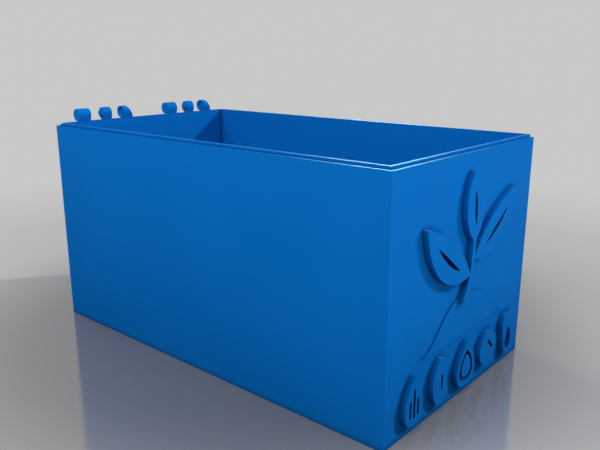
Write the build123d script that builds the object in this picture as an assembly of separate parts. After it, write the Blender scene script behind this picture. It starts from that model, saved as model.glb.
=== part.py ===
from build123d import *

import math
import os

# Garden seed organizer box: an open printed tub with a stepped rim, two groups of snap-cone
# hinge knuckles on the back end wall, a raised plant and seed ornament on the front end wall,
# and three dividers that lift out of ribbed slots.
#
# Frame, in millimetres: origin at the centre of the base, +Z up, the ornament faces -Y,
# the hinge is at +Y, and the width runs along X.

# ---- tub
BOX_WIDTH = 90.0
BOX_LENGTH = 160.5
WALL_HEIGHT = 80.5
WALL = 2.0
FLOOR = 2.0
LIP_INSET = 1.0
LIP_HEIGHT = 1.0
RELIEF_ALONG_END = 1.8     # the lip slopes down to its two back corners, clear of the lid as it swings
RELIEF_ALONG_SIDE = 2.2
RELIEF_DROP = 0.7

# ---- hinge
BARREL_RADIUS = 2.5
GROUP_PITCH = 45.4         # from a knuckle of the left group to the same knuckle of the right group
GROUP_START = -35.5        # outer end of the left group
END_KNUCKLE = 5.2          # lengths along the hinge axis
MIDDLE_KNUCKLE = 3.3
INNER_KNUCKLE = 2.2
END_GAP = 6.8              # room for the lid's knuckles
INNER_GAP = 5.9
CONE_TIP_RADIUS = 1.1
CONE_HEIGHT = 1.2          # on the whole barrel; a dimple has the same taper
DIMPLE_RIM = 0.35          # flat ring left round a dimple
GUSSET_REACH = 0.6         # how far the middle knuckle's web leans out under its cone
BUTTRESS_REACH = 2.7       # how far the inner knuckle's closed end comes out at the rim
BUTTRESS_BULGE = 0.3       # of that end's curve, beyond the straight slope

# ---- dividers and the ribs that hold them
DIVIDER_COUNT = 3
DIVIDER_THICKNESS = 1.6
DIVIDER_HEIGHT = 58.0
DIVIDER_SIDE_CLEARANCE = 0.5
DIVIDER_TOP_RADIUS = 5.0
DIVIDER_FOOT_CHAMFER = 1.0
NOTCH_WIDTH = 34.0
NOTCH_DEPTH = 10.0
NOTCH_SHOULDER_RADIUS = 4.0
SLOT_CLEARANCE = 0.4
RIB_REACH = 1.8
RIB_THICKNESS = 1.2
RIB_HEIGHT = 54.0

# ---- raised ornament on the front end wall
RELIEF = 2.0
MOUND_RELIEF = 0.5
MOUND_HALF_WIDTH = 28.0
MOUND_FLARE = 0.6          # where the hill's flank turns, as a share of the half width
MOUND_BASE = 21.5
MOUND_TOP = 35.5
STEM_FOOT = (-4.0, 33.5)
STEM_HEAD = (0.2, 54.0)
STEM_FOOT_WIDTH = 3.4
STEM_HEAD_WIDTH = 2.0
VEIN_WIDTH = 1.6
VEIN_START = 0.22          # along the leaf, as shares of its length
VEIN_END = 0.74
SEED_HEIGHT = 15.5
SEED_PITCH = 16.0
SEED_CENTRE_HEIGHT = 11.2
PEA_RADIUS = 6.2
BEAN_WIDTH = 10.8
STRIPE = 1.1
GROOVE_DEPTH = 1.3

# ---- derived sizes
LIP_TOP = WALL_HEIGHT + LIP_HEIGHT
INNER_WIDTH = BOX_WIDTH - 2 * WALL
INNER_LENGTH = BOX_LENGTH - 2 * WALL
HINGE_Y = BOX_LENGTH / 2
HINGE_Z = LIP_TOP + BARREL_RADIUS
DIVIDER_PITCH = INNER_LENGTH / (DIVIDER_COUNT + 1)
DIVIDER_WIDTH = INNER_WIDTH - 2 * DIVIDER_SIDE_CLEARANCE
SLOT_WIDTH = DIVIDER_THICKNESS + 2 * SLOT_CLEARANCE
FRONT_FACE = Plane.XZ.offset(BOX_LENGTH / 2)

STANDING = (Align.CENTER, Align.CENTER, Align.MIN)


# ---- tub
def lip_block():
    """The block inside the step, with its two back corners sloped off."""
    width, length = BOX_WIDTH - 2 * LIP_INSET, BOX_LENGTH - 2 * LIP_INSET
    block = Box(width, length, LIP_TOP, align=STANDING)
    for side in (-1, 1):
        low_corner = (side * width / 2, length / 2, LIP_TOP - RELIEF_DROP)
        uphill = (side / RELIEF_ALONG_END, 1 / RELIEF_ALONG_SIDE, 1 / RELIEF_DROP)
        block = split(block, Plane(low_corner, z_dir=uphill), keep=Keep.BOTTOM)
    return block


def tub():
    """Floor and walls, with the inner half of the wall carried up as a lip."""
    walls = Box(BOX_WIDTH, BOX_LENGTH, WALL_HEIGHT, align=STANDING)
    cavity = Pos(0, 0, FLOOR) * Box(INNER_WIDTH, INNER_LENGTH, LIP_TOP, align=STANDING)
    return walls + lip_block() - cavity


def guide_ribs(side):
    """Pairs of ribs up one long wall, one pair for each divider; side is -1 or 1."""
    wall_x = side * INNER_WIDTH / 2
    tip_x = wall_x - side * RIB_REACH
    profile = Polyline(
        (wall_x, FLOOR),
        (tip_x, FLOOR),
        (tip_x, FLOOR + RIB_HEIGHT - RIB_REACH),
        (wall_x, FLOOR + RIB_HEIGHT),
        close=True,
    )
    rib = extrude(make_face(Plane.XZ * profile), RIB_THICKNESS / 2, both=True)
    rib_offset = (SLOT_WIDTH + RIB_THICKNESS) / 2
    return Compound([
        Pos(0, y + end * rib_offset, 0) * rib for y in divider_places() for end in (-1, 1)
    ])


# ---- dividers
def divider_places():
    middle = (DIVIDER_COUNT - 1) / 2
    return [(i - middle) * DIVIDER_PITCH for i in range(DIVIDER_COUNT)]


def divider(y):
    """A thin plate with rounded shoulders and a finger notch, standing on the floor at y."""
    top = FLOOR + DIVIDER_HEIGHT
    plate = Pos(0, FLOOR + DIVIDER_HEIGHT / 2) * Rectangle(DIVIDER_WIDTH, DIVIDER_HEIGHT)
    outline = plate - Pos(0, top) * SlotOverall(NOTCH_WIDTH, 2 * NOTCH_DEPTH)

    def corners(height, low, high):
        return outline.vertices().filter_by(lambda v: abs(v.Y - height) < 0.01 and low < abs(v.X) < high)

    outline = fillet(corners(top, NOTCH_WIDTH, DIVIDER_WIDTH), DIVIDER_TOP_RADIUS)
    outline = fillet(corners(top, 0, NOTCH_WIDTH * 0.6), NOTCH_SHOULDER_RADIUS)
    outline = chamfer(corners(FLOOR, NOTCH_WIDTH, DIVIDER_WIDTH), DIVIDER_FOOT_CHAMFER)
    return Pos(0, y, 0) * extrude(Plane.XZ * outline, DIVIDER_THICKNESS / 2, both=True)


# ---- hinge
def touching_point(y, z):
    """Where a line from (y, z), leaning in over the tub, touches the barrel."""
    towards = math.atan2(z - HINGE_Z, y - HINGE_Y)
    angle = towards - math.acos(BARREL_RADIUS / math.dist((y, z), (HINGE_Y, HINGE_Z)))
    return HINGE_Y + BARREL_RADIUS * math.cos(angle), HINGE_Z + BARREL_RADIUS * math.sin(angle)


def web_outline():
    """A knuckle's web, seen along the hinge: it stands on the lip and the step, flush with the wall's outer face,
    and leans from the wall's inner edge to the barrel."""
    outer_y = BOX_LENGTH / 2
    inner_y = outer_y - WALL
    lip_y = outer_y - LIP_INSET
    return make_face(Polyline(
        (inner_y, LIP_TOP),
        (lip_y, LIP_TOP),
        (lip_y, WALL_HEIGHT),
        (outer_y, WALL_HEIGHT),
        (outer_y, HINGE_Z),
        touching_point(inner_y, LIP_TOP),
        close=True,
    ))


def along_hinge(outline, start, length):
    """An outline in Y and Z, carried along X."""
    return Pos(start, 0, 0) * extrude(Plane.YZ * outline, length)


def seen_from_front(outline):
    """An outline in X and Z, carried back past the hinge."""
    return extrude(Plane.XZ * outline, -BOX_LENGTH)


def knuckle_body(start, length):
    """A barrel on its web, free of the rim towards the back."""
    barrel = Pos(HINGE_Y, HINGE_Z) * Circle(BARREL_RADIUS)
    return along_hinge(web_outline() + barrel, start, length)


def cone(x, direction, base_radius):
    """A blunt cone on the hinge axis, standing on the plane at x."""
    height = CONE_HEIGHT * (base_radius - CONE_TIP_RADIUS) / (BARREL_RADIUS - CONE_TIP_RADIUS)
    solid = Cone(base_radius, CONE_TIP_RADIUS, height, align=STANDING)
    return Pos(x, HINGE_Y, HINGE_Z) * Rot(0, direction * 90, 0) * solid


def dimple(x, direction):
    """What is cut from the end face at x to take the lid's cone."""
    return cone(x, direction, BARREL_RADIUS - DIMPLE_RIM)


def gusset(x):
    """The sloping foot of the web, under a cone on the plane at x."""
    foot = along_hinge(web_outline(), x - GUSSET_REACH, GUSSET_REACH)
    slope = Polyline(
        (x, WALL_HEIGHT),
        (x - GUSSET_REACH, WALL_HEIGHT),
        (x - GUSSET_REACH, LIP_TOP),
        (x, HINGE_Z),
        close=True,
    )
    return foot & seen_from_front(make_face(slope))


def end_knuckle(start):
    """The outermost knuckle: plain outside, with a dimple towards the gap."""
    return knuckle_body(start, END_KNUCKLE) - dimple(start + END_KNUCKLE, -1)


def middle_knuckle(start):
    """A cone faces the end knuckle, and a dimple faces the inner one."""
    body = knuckle_body(start, MIDDLE_KNUCKLE) + gusset(start)
    return body + cone(start, -1, BARREL_RADIUS) - dimple(start + MIDDLE_KNUCKLE, -1)


def inner_knuckle(start):
    """A dimple faces the gap, and the closed end comes down to the rim in a shallow curve."""
    crown = HINGE_Z + BARREL_RADIUS
    shoulder = start + INNER_KNUCKLE
    foot = shoulder + BUTTRESS_REACH
    halfway = ((shoulder + foot) / 2 + BUTTRESS_BULGE, (LIP_TOP + crown) / 2)
    outline = [
        Line((start, crown), (shoulder, crown)),
        ThreePointArc((shoulder, crown), halfway, (foot, LIP_TOP)),
        Polyline((foot, LIP_TOP), (foot, WALL_HEIGHT), (start, WALL_HEIGHT), (start, crown)),
    ]
    full = knuckle_body(start, INNER_KNUCKLE + BUTTRESS_REACH)
    return (full & seen_from_front(make_face(outline))) - dimple(start, 1)


def hinge_group(start):
    """The three knuckles of one group, by name, from its outer end."""
    middle_start = start + END_KNUCKLE + END_GAP
    inner_start = middle_start + MIDDLE_KNUCKLE + INNER_GAP
    return {
        "end": end_knuckle(start),
        "middle": middle_knuckle(middle_start),
        "inner": inner_knuckle(inner_start),
    }


# ---- raised ornament, drawn as (x, z) on the front face
def raised(outline, height=RELIEF, groove=None):
    """The outline stands out of the wall by height, and the groove is sunk into its face."""
    solid = extrude(FRONT_FACE * outline, height)
    if groove is not None:
        solid -= extrude(FRONT_FACE.offset(height) * groove, -GROOVE_DEPTH)
    return solid


def mound():
    """A low hill with flared feet."""
    foot, flare = MOUND_HALF_WIDTH, MOUND_HALF_WIDTH * MOUND_FLARE
    hill = [
        Bezier((-foot, MOUND_BASE), (-flare, MOUND_BASE), (-flare, MOUND_TOP), (0, MOUND_TOP)),
        Bezier((0, MOUND_TOP), (flare, MOUND_TOP), (flare, MOUND_BASE), (foot, MOUND_BASE)),
        Line((foot, MOUND_BASE), (-foot, MOUND_BASE)),
    ]
    return raised(make_face(hill), MOUND_RELIEF)


def stem(ground):
    """A tapered stem that leans a little as it rises out of the mound."""
    (foot_x, foot_z), (head_x, head_z) = STEM_FOOT, STEM_HEAD
    rise = head_z - foot_z

    def side(sign):
        foot = foot_x + sign * STEM_FOOT_WIDTH / 2
        head = head_x + sign * STEM_HEAD_WIDTH / 2
        return Bezier((foot, foot_z), (head, foot_z + rise * 0.35), (head, foot_z + rise * 0.7), (head, head_z))

    left, right = side(-1), side(1)
    outline = make_face([left, Line(left @ 1, right @ 1), right, Line(right @ 0, left @ 0)])
    return raised(outline) - ground


def lens(start, end, width, bow):
    """A pointed oval along the local X axis, bowed sideways at its middle."""
    run = end - start
    reach = width * 2 / 3      # a cubic's control points stand 4/3 as far out as the curve
    rise = bow * 4 / 3

    def side(sign):
        out = sign * reach + rise
        return Bezier((start, 0), (start + run * 0.25, out), (start + run * 0.7, out), (end, 0))

    return make_face([side(1), side(-1)])


def leaf(base, tip, width, bow):
    """A bowed leaf with a slit along its middle vein, through to the wall."""
    length = math.dist(base, tip)
    lean = math.degrees(math.atan2(tip[1] - base[1], tip[0] - base[0]))
    blade = lens(0, length, width, bow)
    vein = Pos(0, bow * 0.7) * lens(length * VEIN_START, length * VEIN_END, VEIN_WIDTH, bow * 0.25)
    return raised(Pos(*base) * Rot(0, 0, lean) * (blade - vein))


# ---- seeds, each drawn about its own centre as an outline and a groove
def drop(width, height):
    """A round-bottomed, pointed outline."""
    half = height / 2
    swell = width * 0.72
    right = Bezier((0, -half), (swell, -half), (swell * 0.8, half * 0.35), (0, half))
    return make_face([right, mirror(right, Plane.YZ)])


def upright_slot(x, z, length, width):
    return Pos(x, z) * SlotOverall(length, width, rotation=90)


def sunflower_seed():
    """A long drop with a long stripe between two short ones."""
    stripes = upright_slot(0, -0.6, 9.4, STRIPE) + [upright_slot(x, -2.2, 5.6, STRIPE) for x in (-2.1, 2.1)]
    return drop(10.0, SEED_HEIGHT), stripes


def bean():
    """A kidney shape with the scar at its hollow side."""
    outline = Ellipse(BEAN_WIDTH / 2, SEED_HEIGHT / 2) - Pos(BEAN_WIDTH * 0.66, 0) * Circle(BEAN_WIDTH * 0.41)
    rims = outline.vertices().filter_by(lambda v: v.X > 0 and abs(v.Y) > 0.1)
    return fillet(rims, 1.6), upright_slot(0, 0, 5.2, STRIPE)


def pumpkin_seed():
    """A broad drop with a border."""
    ring = drop(9.0, SEED_HEIGHT - 4.4) - drop(6.2, SEED_HEIGHT - 7.6)
    return drop(12.4, SEED_HEIGHT), Pos(0, -0.4) * ring


def pea():
    """A round seed with a leaning scar."""
    return Circle(PEA_RADIUS), Pos(1.2, 1.2) * SlotOverall(5.4, STRIPE, rotation=-45)


def corn_kernel():
    """A wedge with round shoulders, and the germ as a drop."""
    half = SEED_HEIGHT / 2
    tip, shoulder = 2.6, 5.8
    wedge = Polygon((-tip, -half), (tip, -half), (shoulder, half), (-shoulder, half), align=None)
    rounded = fillet(wedge.vertices().group_by(Axis.Y)[0], 1.8)
    rounded = fillet(rounded.vertices().group_by(Axis.Y)[-1], 3.0)
    return rounded, Pos(0, -1.4) * drop(4.4, 8.6)


def seed_row():
    """Five seeds in a row near the foot of the front face, by name."""
    kinds = {
        "sunflower": sunflower_seed(),
        "bean": bean(),
        "pumpkin": pumpkin_seed(),
        "pea": pea(),
        "corn": corn_kernel(),
    }
    middle = (len(kinds) - 1) / 2
    row = {}
    for i, (name, (outline, groove)) in enumerate(kinds.items()):
        place = Pos((i - middle) * SEED_PITCH, SEED_CENTRE_HEIGHT)
        row[name] = raised(place * outline, groove=place * groove)
    return row


def plant(ground):
    """The stem and its three leaves; each leaf is cut back to the stem's side."""
    stalk = stem(ground)
    leaves = {
        "leaf_left": leaf((-1.6, 42.0), (-29.0, 62.0), 12.0, 2.2),
        "leaf_right": leaf((0.6, 47.0), (30.0, 66.0), 11.5, -2.0),
        "leaf_top": leaf((0.2, 52.5), (-2.5, 75.0), 11.5, -0.8),
    }
    return {"stem": stalk, **{name: blade - stalk for name, blade in leaves.items()}}


def build_nodes():
    """Every sub-part, by node name."""
    nodes = {"tub": tub(), "guide_ribs_left": guide_ribs(-1), "guide_ribs_right": guide_ribs(1)}
    for place, y in zip(("front", "middle", "rear"), divider_places()):
        nodes[f"divider_{place}"] = divider(y)
    for side, start in (("left", GROUP_START), ("right", GROUP_START + GROUP_PITCH)):
        for name, knuckle in hinge_group(start).items():
            nodes[f"hinge_{side}_{name}_knuckle"] = knuckle
    ground = mound()
    nodes["ornament_mound"] = ground
    for name, shape in plant(ground).items():
        nodes[f"ornament_{name}"] = shape
    for name, shape in seed_row().items():
        nodes[f"ornament_seed_{name}"] = shape
    return nodes


os.makedirs("parts", exist_ok=True)
for node, shape in build_nodes().items():
    export_step(shape, f"parts/{node}.step")
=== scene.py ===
import math

import bpy
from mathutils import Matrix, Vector


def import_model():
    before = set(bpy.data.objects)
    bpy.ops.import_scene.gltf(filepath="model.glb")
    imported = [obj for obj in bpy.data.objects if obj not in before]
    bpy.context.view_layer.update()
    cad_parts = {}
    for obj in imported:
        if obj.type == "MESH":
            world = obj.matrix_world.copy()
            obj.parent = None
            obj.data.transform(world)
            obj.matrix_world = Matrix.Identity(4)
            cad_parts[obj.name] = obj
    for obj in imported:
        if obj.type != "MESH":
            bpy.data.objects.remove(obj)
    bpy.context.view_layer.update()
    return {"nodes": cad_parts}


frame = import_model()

MM = 0.001

# ---- camera, at the photograph's viewing angle; lens and sensor in millimetres, clipping in metres
CAMERA_PLACE = Vector((-184.8, -169.9, 109.9)) * MM
CAMERA_AZIMUTH = math.radians(-49.276)     # 0 looks along +Y
CAMERA_ELEVATION = math.radians(14.77)
CAMERA_LENS = 39.79
CAMERA_SENSOR = 36.0
CAMERA_NEAR = 0.01
CAMERA_FAR = 50.0

# ---- colours, linear
BLUE = (0.0025, 0.138, 0.490, 1.0)
BLUE_DEEP = (0.0022, 0.134, 0.476, 1.0)
BLUE_PALE = (0.0028, 0.142, 0.504, 1.0)
SHEEN_TINT = (0.10, 0.45, 1.00, 1.0)
BACKDROP_GREY = (0.578, 0.578, 0.578, 1.0)

# ---- the plastic's finish
PLASTIC_IOR = 1.46
SHEEN = 0.005

# ---- faint clouds in the plastic: their size, the colour at three levels of the noise, and the roughness
# from its lowest level to its highest
CLOUD = 40.0 * MM
CLOUD_COLOURS = ((0.30, BLUE_DEEP), (0.50, BLUE), (0.70, BLUE_PALE))
ROUGHNESS = (0.38, 0.44)

# ---- painted shade in creases: their reach, the colour's share left in the deepest, and how open a point is from
# there to a plain face
CREASE = 3.0 * MM
CREASE_SHADE = 0.35
CREASE_RANGE = (0.30, 0.95)
CREASE_SAMPLES = 8

# ---- print layers: their height and depth, the wave texture's scale that gives one wave to a layer, and
# the strength of the bump
LAYER = 0.20 * MM
LAYER_DEPTH = 0.004 * MM
LAYER_WAVES = math.pi / 10 / LAYER
LAYER_BUMP = 0.3

# ---- floor: its greys close to the object and further out, darker close by as painted shade around the object, with
# distances in metres from its middle
FLOOR_MIDDLE = Vector((0.0, 15.0, 0.0)) * MM
FLOOR_REACH = 6.0              # half of its width
FLOOR_GREYS = (0.145, 0.380)
GREY_RANGE = (0.075, 0.160)
FADE_RANGE = (0.115, 0.370)    # where the floor runs into the backdrop
FLOOR_ROUGHNESS = 0.10
FLOOR_IOR = 2.2

# ---- lamps far away: name, direction towards the lamp, strength, angular size in degrees
FAR_LAMPS = (
    ("key_lamp", (0.699, -0.498, 0.514), 2.15, 1.5),
    ("back_lamp", (0.100, 0.900, 0.450), 1.5, 40.0),
)

# ---- one more of them, low behind the object, that only brings out the sheen of its top edges
SHEEN_LAMP = ("sheen_lamp", (0.800, 0.535, 0.250), 2.35, 8.0)
SHEEN_COLOUR = (0.36, 0.76, 1.00)

# ---- soft boxes along the two walls: name, place and length in metres, power in watts
SOFT_BOXES = (
    ("left_box", (-0.250, 0.000, 0.300), 0.40, 1.08),
    ("front_box", (0.000, -0.185, 0.250), 0.30, 0.16),
)
SOFT_BOX_WIDTH = 0.10
SOFT_BOX_AIM = Vector((0.0, 0.0, 45.0)) * MM

# ---- a low spotlight on the front wall, whose soft edge lies along the wall's foot
SPOT_PLACE = Vector((0.0, -450.0, 85.0)) * MM
SPOT_AIM = Vector((0.0, -80.0, 200.0)) * MM
SPOT_CONE = math.radians(61.0)
SPOT_EDGE = 0.5
SPOT_RADIUS = 20.0 * MM
SPOT_POWER = 1.35

# ---- even light from all round
WORLD_GREY = (0.12, 0.12, 0.12, 1.0)


# ---- materials
class Nodes:
    """A material's node tree, with short calls to add and join nodes."""

    def __init__(self, name):
        self.material = bpy.data.materials.new(name)
        self.material.use_nodes = True
        self.tree = self.material.node_tree
        self.shader = self.tree.nodes["Principled BSDF"]

    def add(self, kind, **settings):
        node = self.tree.nodes.new(kind)
        for key, value in settings.items():
            setattr(node, key, value)
        return node

    def join(self, source, target):
        self.tree.links.new(source, target)

    def noise(self, scale, place):
        node = self.add("ShaderNodeTexNoise")
        node.inputs["Scale"].default_value = scale
        self.join(place, node.inputs["Vector"])
        return node.outputs["Fac"]

    def ramp(self, source, stops):
        node = self.add("ShaderNodeValToRGB")
        elements = node.color_ramp.elements
        while len(elements) < len(stops):
            elements.new(0.5)    # moved to its own level below
        for element, (level, colour) in zip(elements, stops):
            element.position = level
            element.color = colour
        self.join(source, node.inputs["Fac"])
        return node.outputs["Color"]

    def spread(self, source, low, high, start=0.0, end=1.0):
        """Low at start and high at end, smoothly between."""
        node = self.add("ShaderNodeMapRange", interpolation_type="SMOOTHSTEP")
        node.inputs["From Min"].default_value = start
        node.inputs["From Max"].default_value = end
        node.inputs["To Min"].default_value = low
        node.inputs["To Max"].default_value = high
        self.join(source, node.inputs["Value"])
        return node.outputs["Result"]


def painted_crease_shade(nodes, colour):
    """The colour, darker in narrow creases as painted shade."""
    openness = nodes.add("ShaderNodeAmbientOcclusion", samples=CREASE_SAMPLES)
    openness.inputs["Distance"].default_value = CREASE
    shade = nodes.spread(openness.outputs["AO"], CREASE_SHADE, 1.0, *CREASE_RANGE)
    product = nodes.add("ShaderNodeVectorMath", operation="SCALE")
    nodes.join(colour, product.inputs[0])
    nodes.join(shade, product.inputs["Scale"])
    return product.outputs["Vector"]


def layered(nodes, place):
    """The surface's normal over fine print layers."""
    waves = nodes.add("ShaderNodeTexWave", wave_type="BANDS", bands_direction="Z", wave_profile="SIN")
    waves.inputs["Scale"].default_value = LAYER_WAVES
    nodes.join(place, waves.inputs["Vector"])
    bump = nodes.add("ShaderNodeBump")
    bump.inputs["Strength"].default_value = LAYER_BUMP
    bump.inputs["Distance"].default_value = LAYER_DEPTH
    nodes.join(waves.outputs["Fac"], bump.inputs["Height"])
    return bump.outputs["Normal"]


def printed_plastic(name):
    """Satin blue printed plastic, with painted shade in its creases, and layers that only show up close.
    """
    nodes = Nodes(name)
    place = nodes.add("ShaderNodeTexCoord").outputs["Object"]
    cloud = nodes.noise(1 / CLOUD, place)
    # the base colour carries painted shade in creases
    nodes.join(painted_crease_shade(nodes, nodes.ramp(cloud, CLOUD_COLOURS)), nodes.shader.inputs["Base Color"])
    nodes.join(nodes.spread(cloud, *ROUGHNESS), nodes.shader.inputs["Roughness"])
    nodes.join(layered(nodes, place), nodes.shader.inputs["Normal"])
    nodes.shader.inputs["IOR"].default_value = PLASTIC_IOR
    nodes.shader.inputs["Specular IOR Level"].default_value = SHEEN
    nodes.shader.inputs["Specular Tint"].default_value = SHEEN_TINT
    return nodes.material


def floor_material():
    """A grey floor with a sheen and painted shade near the object; it keeps the object's shadow and runs
    into the backdrop outside.
    """
    nodes = Nodes("stage_floor")
    length = nodes.add("ShaderNodeVectorMath", operation="LENGTH")
    nodes.join(nodes.add("ShaderNodeTexCoord").outputs["Object"], length.inputs[0])
    distance = length.outputs["Value"]
    # the base grey is darker close to the object: painted shade around it
    nodes.join(nodes.spread(distance, *FLOOR_GREYS, *GREY_RANGE), nodes.shader.inputs["Base Color"])
    nodes.shader.inputs["Roughness"].default_value = FLOOR_ROUGHNESS
    nodes.shader.inputs["IOR"].default_value = FLOOR_IOR

    backdrop = nodes.add("ShaderNodeEmission")
    backdrop.inputs["Color"].default_value = BACKDROP_GREY
    mix = nodes.add("ShaderNodeMixShader")
    nodes.join(nodes.spread(distance, 0.0, 1.0, *FADE_RANGE), mix.inputs["Fac"])
    nodes.join(nodes.shader.outputs["BSDF"], mix.inputs[1])
    nodes.join(backdrop.outputs["Emission"], mix.inputs[2])
    nodes.join(mix.outputs["Shader"], nodes.tree.nodes["Material Output"].inputs["Surface"])
    return nodes.material


def dress_nodes():
    plastic = printed_plastic("printed_plastic")
    for node in frame["nodes"].values():
        for slot in node.material_slots:
            slot.material = plastic


# ---- stage
def stage_floor():
    mesh = bpy.data.meshes.new("floor")
    low, high = -FLOOR_REACH, FLOOR_REACH
    corners = [(low, low, 0), (high, low, 0), (high, high, 0), (low, high, 0)]
    mesh.from_pydata(corners, [], [(0, 1, 2, 3)])
    mesh.materials.append(floor_material())
    floor = bpy.data.objects.new("floor", mesh)
    floor.location = FLOOR_MIDDLE
    bpy.context.scene.collection.objects.link(floor)


def camera():
    data = bpy.data.cameras.new("camera")
    data.lens = CAMERA_LENS
    data.sensor_width = CAMERA_SENSOR
    data.clip_start = CAMERA_NEAR
    data.clip_end = CAMERA_FAR
    item = bpy.data.objects.new("camera", data)
    bpy.context.scene.collection.objects.link(item)
    level = math.cos(CAMERA_ELEVATION)
    back = Vector((
        math.sin(CAMERA_AZIMUTH) * level,
        -math.cos(CAMERA_AZIMUTH) * level,
        math.sin(CAMERA_ELEVATION),
    ))
    item.location = CAMERA_PLACE
    item.rotation_mode = "QUATERNION"
    item.rotation_quaternion = (-back).to_track_quat("-Z", "Y")
    bpy.context.scene.camera = item


# ---- lights
def lamp(data, place, aim):
    """A lamp that isn't seen itself, neither by the camera nor in reflections."""
    item = bpy.data.objects.new(data.name, data)
    bpy.context.scene.collection.objects.link(item)
    item.location = place
    item.rotation_mode = "QUATERNION"
    item.rotation_quaternion = (Vector(place) - aim).to_track_quat("Z", "Y")
    item.visible_camera = False
    item.visible_glossy = False
    return item


def far_lamp(name, direction, strength, size):
    data = bpy.data.lights.new(name, "SUN")
    data.energy = strength
    data.angle = math.radians(size)
    return lamp(data, direction, Vector())


def keep_off_floor(item, lit):
    """The lamp lights only the pieces of the collection lit."""
    item.light_linking.receiver_collection = lit


def sheen_lamp(lit):
    """Lights the object in reflection only, and throws no shadow."""
    item = far_lamp(*SHEEN_LAMP)
    item.data.color = SHEEN_COLOUR
    item.data.use_shadow = False
    item.visible_glossy = True
    item.visible_diffuse = False
    keep_off_floor(item, lit)


def front_spot(lit):
    data = bpy.data.lights.new("front_spot", "SPOT")
    data.energy = SPOT_POWER
    data.spot_size = SPOT_CONE
    data.spot_blend = SPOT_EDGE
    data.shadow_soft_size = SPOT_RADIUS
    keep_off_floor(lamp(data, SPOT_PLACE, SPOT_AIM), lit)


def soft_box(name, place, length, power):
    data = bpy.data.lights.new(name, "AREA")
    data.shape = "RECTANGLE"
    data.size = length
    data.size_y = SOFT_BOX_WIDTH
    data.energy = power
    lamp(data, place, SOFT_BOX_AIM)


def lights():
    for values in FAR_LAMPS:
        far_lamp(*values)
    for values in SOFT_BOXES:
        soft_box(*values)
    lit = bpy.data.collections.new("object_only")
    for node in frame["nodes"].values():
        lit.objects.link(node)
    sheen_lamp(lit)
    front_spot(lit)


def world():
    """Even soft light; what the camera and the reflections see of it is the pale backdrop."""
    item = bpy.data.worlds.new("world")
    item.use_nodes = True
    tree = item.node_tree
    light = tree.nodes["Background"]
    light.inputs["Color"].default_value = WORLD_GREY
    backdrop = tree.nodes.new("ShaderNodeBackground")
    backdrop.inputs["Color"].default_value = BACKDROP_GREY
    path = tree.nodes.new("ShaderNodeLightPath")
    mix = tree.nodes.new("ShaderNodeMixShader")
    seen = tree.nodes.new("ShaderNodeMath")
    seen.operation = "MAXIMUM"
    tree.links.new(path.outputs["Is Camera Ray"], seen.inputs[0])
    tree.links.new(path.outputs["Is Glossy Ray"], seen.inputs[1])
    tree.links.new(seen.outputs["Value"], mix.inputs["Fac"])
    tree.links.new(light.outputs["Background"], mix.inputs[1])
    tree.links.new(backdrop.outputs["Background"], mix.inputs[2])
    tree.links.new(mix.outputs["Shader"], tree.nodes["World Output"].inputs["Surface"])
    bpy.context.scene.world = item


camera()
stage_floor()
lights()
world()
dress_nodes()
bpy.context.scene.view_settings.view_transform = "Standard"
